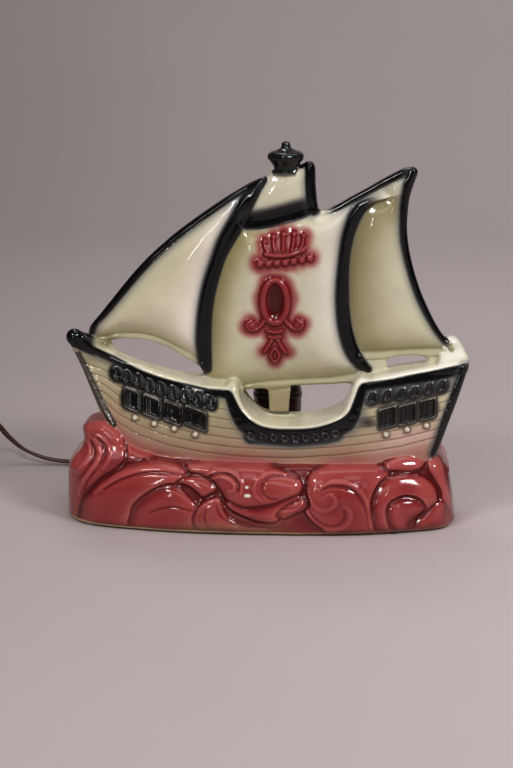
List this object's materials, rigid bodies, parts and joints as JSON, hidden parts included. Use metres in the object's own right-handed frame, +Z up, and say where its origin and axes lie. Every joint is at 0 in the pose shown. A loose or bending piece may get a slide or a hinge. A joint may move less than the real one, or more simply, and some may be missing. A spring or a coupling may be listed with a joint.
{
  "type": "tv lamp",
  "caption": "Hollow glazed-ceramic television lamp: a galleon in full sail on scrolled waves, with a screw-base bulb and turn-knob socket behind the main sail and a corded plug.",
  "frame": {"origin": "on the table plane, under the middle of the bounding box of the whole lamp with its cord and plug; the middle of the ceramic base's footprint is at X +56.4 mm, Y -32.9 mm", "axes": "+X from bow to stern, +Y from the front of the lamp to its back, +Z up"},
  "size_m": [0.41, 0.179, 0.2727],
  "materials": {
    "glazed_ceramic": "slip-cast earthenware, clear gloss glaze over cream, airbrushed black and maroon, bare foot rim",
    "felt": "pressed green felt",
    "zinc_steel": "zinc plated steel",
    "brass": "lightly tarnished brass",
    "bakelite": "moulded brown-black bakelite",
    "phenolic": "pressed brown phenolic",
    "nickel": "nickel plate",
    "tungsten": "drawn tungsten wire",
    "frosted_glass": "inside-frosted glass",
    "clear_glass": "clear glass",
    "black_glass": "black vitreous insulator",
    "cord_vinyl": "brown moulded twin cord",
    "copper": "bare copper strands",
    "rubber": "black rubber",
    "fibre_board": "grey-brown vulcanised fibre"
  },
  "bodies": {
    "lamp_body": {"ceramic_body": "glazed_ceramic", "felt_pad_front_left": "felt", "felt_pad_front_right": "felt", "felt_pad_rear_left": "felt", "felt_pad_rear_right": "felt", "mounting_nipple": "zinc_steel", "washer_upper": "zinc_steel", "washer_lower": "zinc_steel", "locknut_upper": "brass", "locknut_lower": "brass", "socket_cap": "bakelite", "socket_set_screw": "zinc_steel", "socket_shell": "bakelite", "socket_insulator": "phenolic", "screw_shell": "brass", "center_contact": "brass", "terminal_screw_hot": "brass", "terminal_screw_neutral": "nickel", "switch_contact": "brass", "cord": "cord_vinyl", "conductor_hot": "copper", "conductor_neutral": "copper", "cord_bushing": "rubber", "plug_body": "bakelite", "plug_blade_left": "brass", "plug_blade_right": "brass", "plug_cover_disc": "fibre_board", "plug_screw_left": "nickel", "plug_screw_right": "nickel"},
    "knob": {"switch_knob": "bakelite", "switch_shaft": "brass", "switch_rotor": "phenolic"},
    "bulb": {"bulb_glass": "frosted_glass", "bulb_screw_cap": "brass", "bulb_insulator": "black_glass", "bulb_contact_tip": "nickel", "bulb_stem": "clear_glass", "bulb_lead_left": "nickel", "bulb_lead_right": "nickel", "bulb_filament": "tungsten"}
  },
  "joints": [
    {"name": "knob_turn", "type": "hinge", "parent": "lamp_body", "child": "knob", "pos_m": [0.06743, 0.02906, 0.09], "axis": [0, 1, 0], "continuous": true},
    {"name": "bulb_lift", "type": "slide", "parent": "lamp_body", "child": "bulb", "axis": [0, 0, 1], "range_m": [0, 0.04]}
  ]
}
